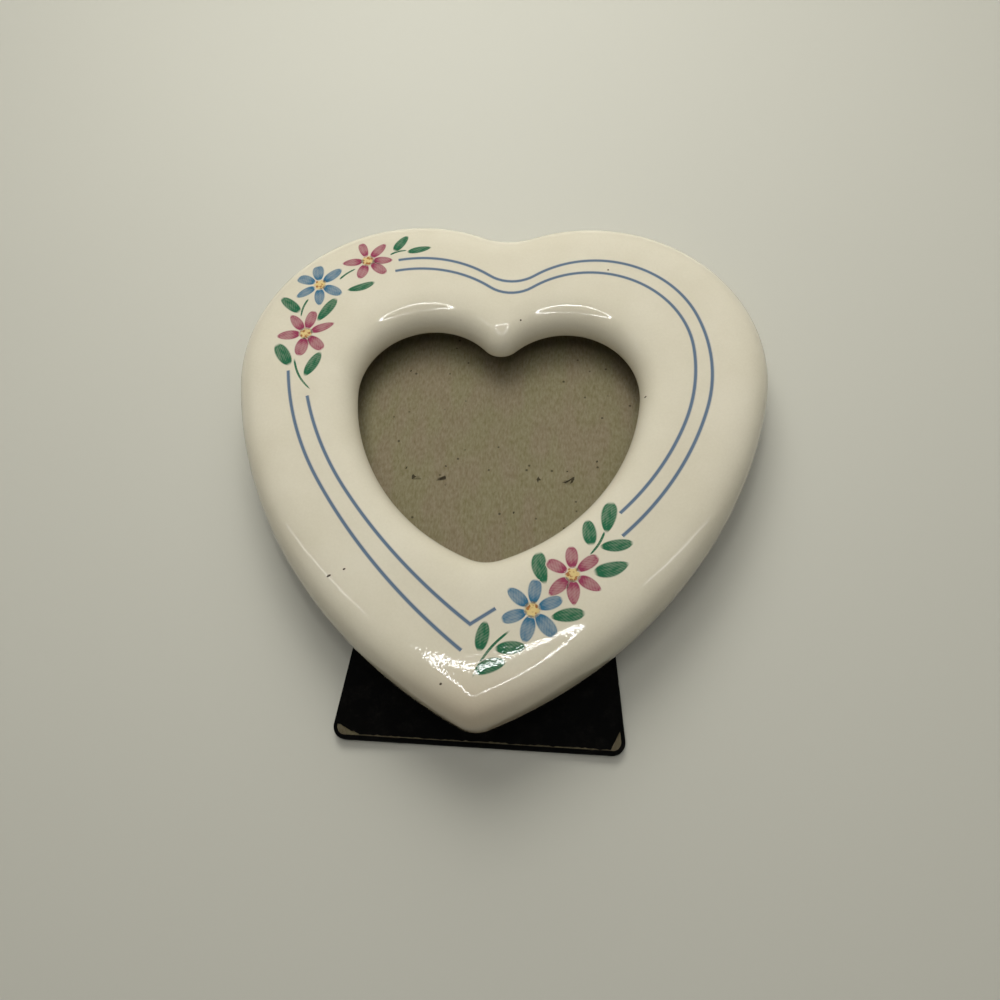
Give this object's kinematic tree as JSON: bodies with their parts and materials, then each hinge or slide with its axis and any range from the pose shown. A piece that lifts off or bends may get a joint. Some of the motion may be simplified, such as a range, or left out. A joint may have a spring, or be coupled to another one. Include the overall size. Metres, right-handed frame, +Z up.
{
  "type": "heart shaped photo frame",
  "caption": "Glazed ceramic heart photo frame with a rolled heart window, painted flower sprays and stripes, and a hinged easel strut behind a chipboard back.",
  "frame": {"origin": "centre of the bounding box, on the table that the frame lies on", "axes": "+X to the right of someone who faces the picture, +Y towards the heart's lobes, +Z up off the table, out of the face"},
  "size_m": [0.127, 0.1287, 0.0214],
  "materials": {
    "glazed_ceramic": "glossy ivory glaze",
    "grey_chipboard": "matt, flecked",
    "black_textured_paper": "fine leather grain, low sheen",
    "hot_melt_glue": "smooth, translucent amber",
    "galvanised_wire": "dull zinc",
    "plated_steel": "nickel plate, slightly dulled"
  },
  "bodies": {
    "frame": {"ceramic_frame": "glazed_ceramic", "board_glue": "hot_melt_glue", "backing_board": "grey_chipboard", "backing_cover": "black_textured_paper", "board_staples": "galvanised_wire", "hinge_back_leaf": "plated_steel", "hinge_pin": "plated_steel"},
    "strut": {"hinge_strut_leaf": "plated_steel", "strut_staples": "galvanised_wire", "strut_board": "grey_chipboard", "strut_cover": "black_textured_paper", "strut_lining": "black_textured_paper"}
  },
  "joints": [
    {"name": "strut_hinge", "type": "hinge", "parent": "frame", "child": "strut", "pos_m": [0, -0.00975, 0.00265], "axis": [1, 0, 0], "range_deg": [-3.2, 31.7]}
  ]
}
